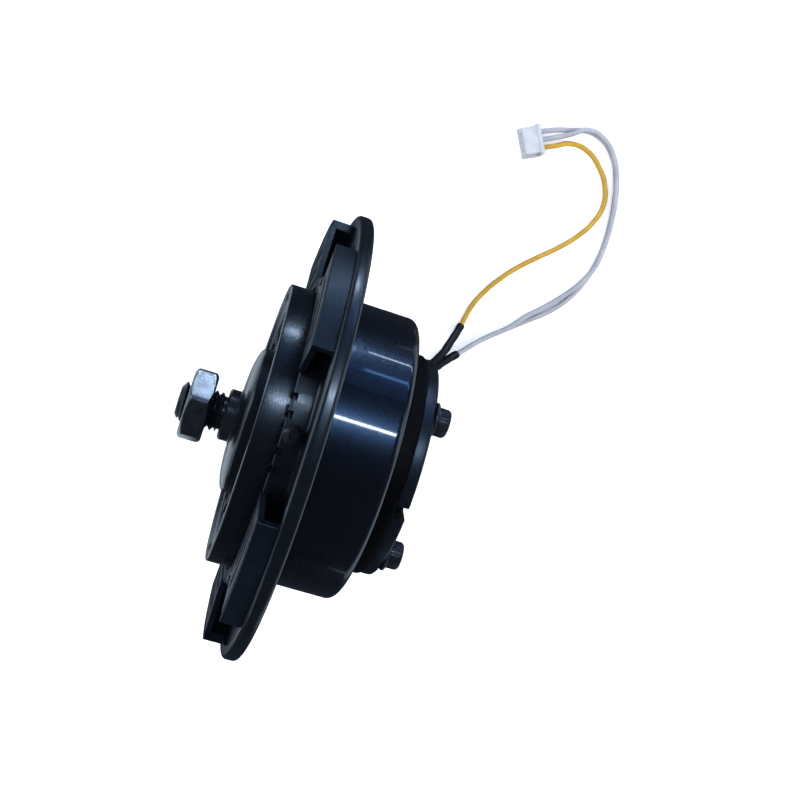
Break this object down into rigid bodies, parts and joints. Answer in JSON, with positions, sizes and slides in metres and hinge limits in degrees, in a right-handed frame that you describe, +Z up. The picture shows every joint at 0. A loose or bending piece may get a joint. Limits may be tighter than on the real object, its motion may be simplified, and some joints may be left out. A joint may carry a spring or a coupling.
{
  "type": "hub motor",
  "caption": "Small wheel hub motor: fixed threaded axle, turning black can with a slotted ring flange for the wheel, rear plate, and three leads to a white connector.",
  "frame": {"origin": "centre of the axle shoulder's front face, where a fork or dropout plate seats on the axle", "axes": "+Y along the axle from the nut to the rear plate, +Z up with the leads lying below, X across"},
  "size_m": [0.1759, 0.1115, 0.114],
  "materials": {
    "black_oxide": "black oxide, slightly oily",
    "zinc": "bright zinc plate with a bluish cast",
    "bare_steel": "turned steel",
    "bearing_steel": "ground and polished",
    "cage_brass": "pressed brass",
    "rubber": "matte black rubber",
    "cast_black": "semi-gloss black paint over cast aluminium",
    "gloss_black": "gloss black over turned steel",
    "bracket_black": "matte black paint",
    "satin_black": "satin black with a blue tint",
    "magnet": "nickel plate",
    "core_steel": "stacked laminations",
    "insulator": "white nylon",
    "copper": "enamelled copper wire",
    "board": "green solder mask",
    "sleeve": "matte black heat-shrink",
    "lead_yellow": "soft yellow PVC",
    "lead_white": "soft white PVC",
    "nylon": "natural white nylon",
    "tin": "tinned brass"
  },
  "bodies": {
    "stator": {"axle": "black_oxide", "axle_nut": "zinc", "bearing_spacer": "bare_steel", "axle_circlip": "black_oxide", "front_bearing_inner": "bearing_steel", "rear_bearing_inner": "bearing_steel", "stator_core": "core_steel", "front_insulator": "insulator", "rear_insulator": "insulator", "coils_a": "copper", "coils_b": "copper", "coils_c": "copper", "terminal_board": "board", "rear_bracket": "bracket_black", "rear_plate": "satin_black", "plate_washers": "black_oxide", "plate_screws": "black_oxide", "lead_grommet": "rubber", "sleeve_yellow": "sleeve", "sleeve_white": "sleeve", "lead_yellow": "lead_yellow", "lead_white_a": "lead_white", "lead_white_b": "lead_white", "connector_housing": "nylon", "connector_contacts": "tin"},
    "rotor": {"front_drum": "cast_black", "ring_flange": "cast_black", "rotor_can": "gloss_black", "rotor_screws": "black_oxide", "magnets": "magnet", "dust_seal": "rubber", "front_bearing_outer": "bearing_steel", "rear_bearing_outer": "bearing_steel"},
    "front_ball_train": {"front_bearing_balls": "bearing_steel", "front_bearing_cage": "cage_brass"},
    "rear_ball_train": {"rear_bearing_balls": "bearing_steel", "rear_bearing_cage": "cage_brass"}
  },
  "joints": [
    {"name": "rotor_spin", "type": "hinge", "parent": "stator", "child": "rotor", "pos_m": [0, 0, 0], "axis": [0, 1, 0], "continuous": true},
    {"name": "front_balls_spin", "type": "hinge", "parent": "stator", "child": "front_ball_train", "pos_m": [0, 0.0104, 0], "axis": [0, 1, 0], "continuous": true},
    {"name": "rear_balls_spin", "type": "hinge", "parent": "stator", "child": "rear_ball_train", "pos_m": [0, 0.0274, 0], "axis": [0, 1, 0], "continuous": true}
  ],
  "couplings": [
    {"joint": "front_balls_spin", "follows": "rotor_spin", "ratio": 0.6},
    {"joint": "rear_balls_spin", "follows": "rotor_spin", "ratio": 0.6}
  ]
}
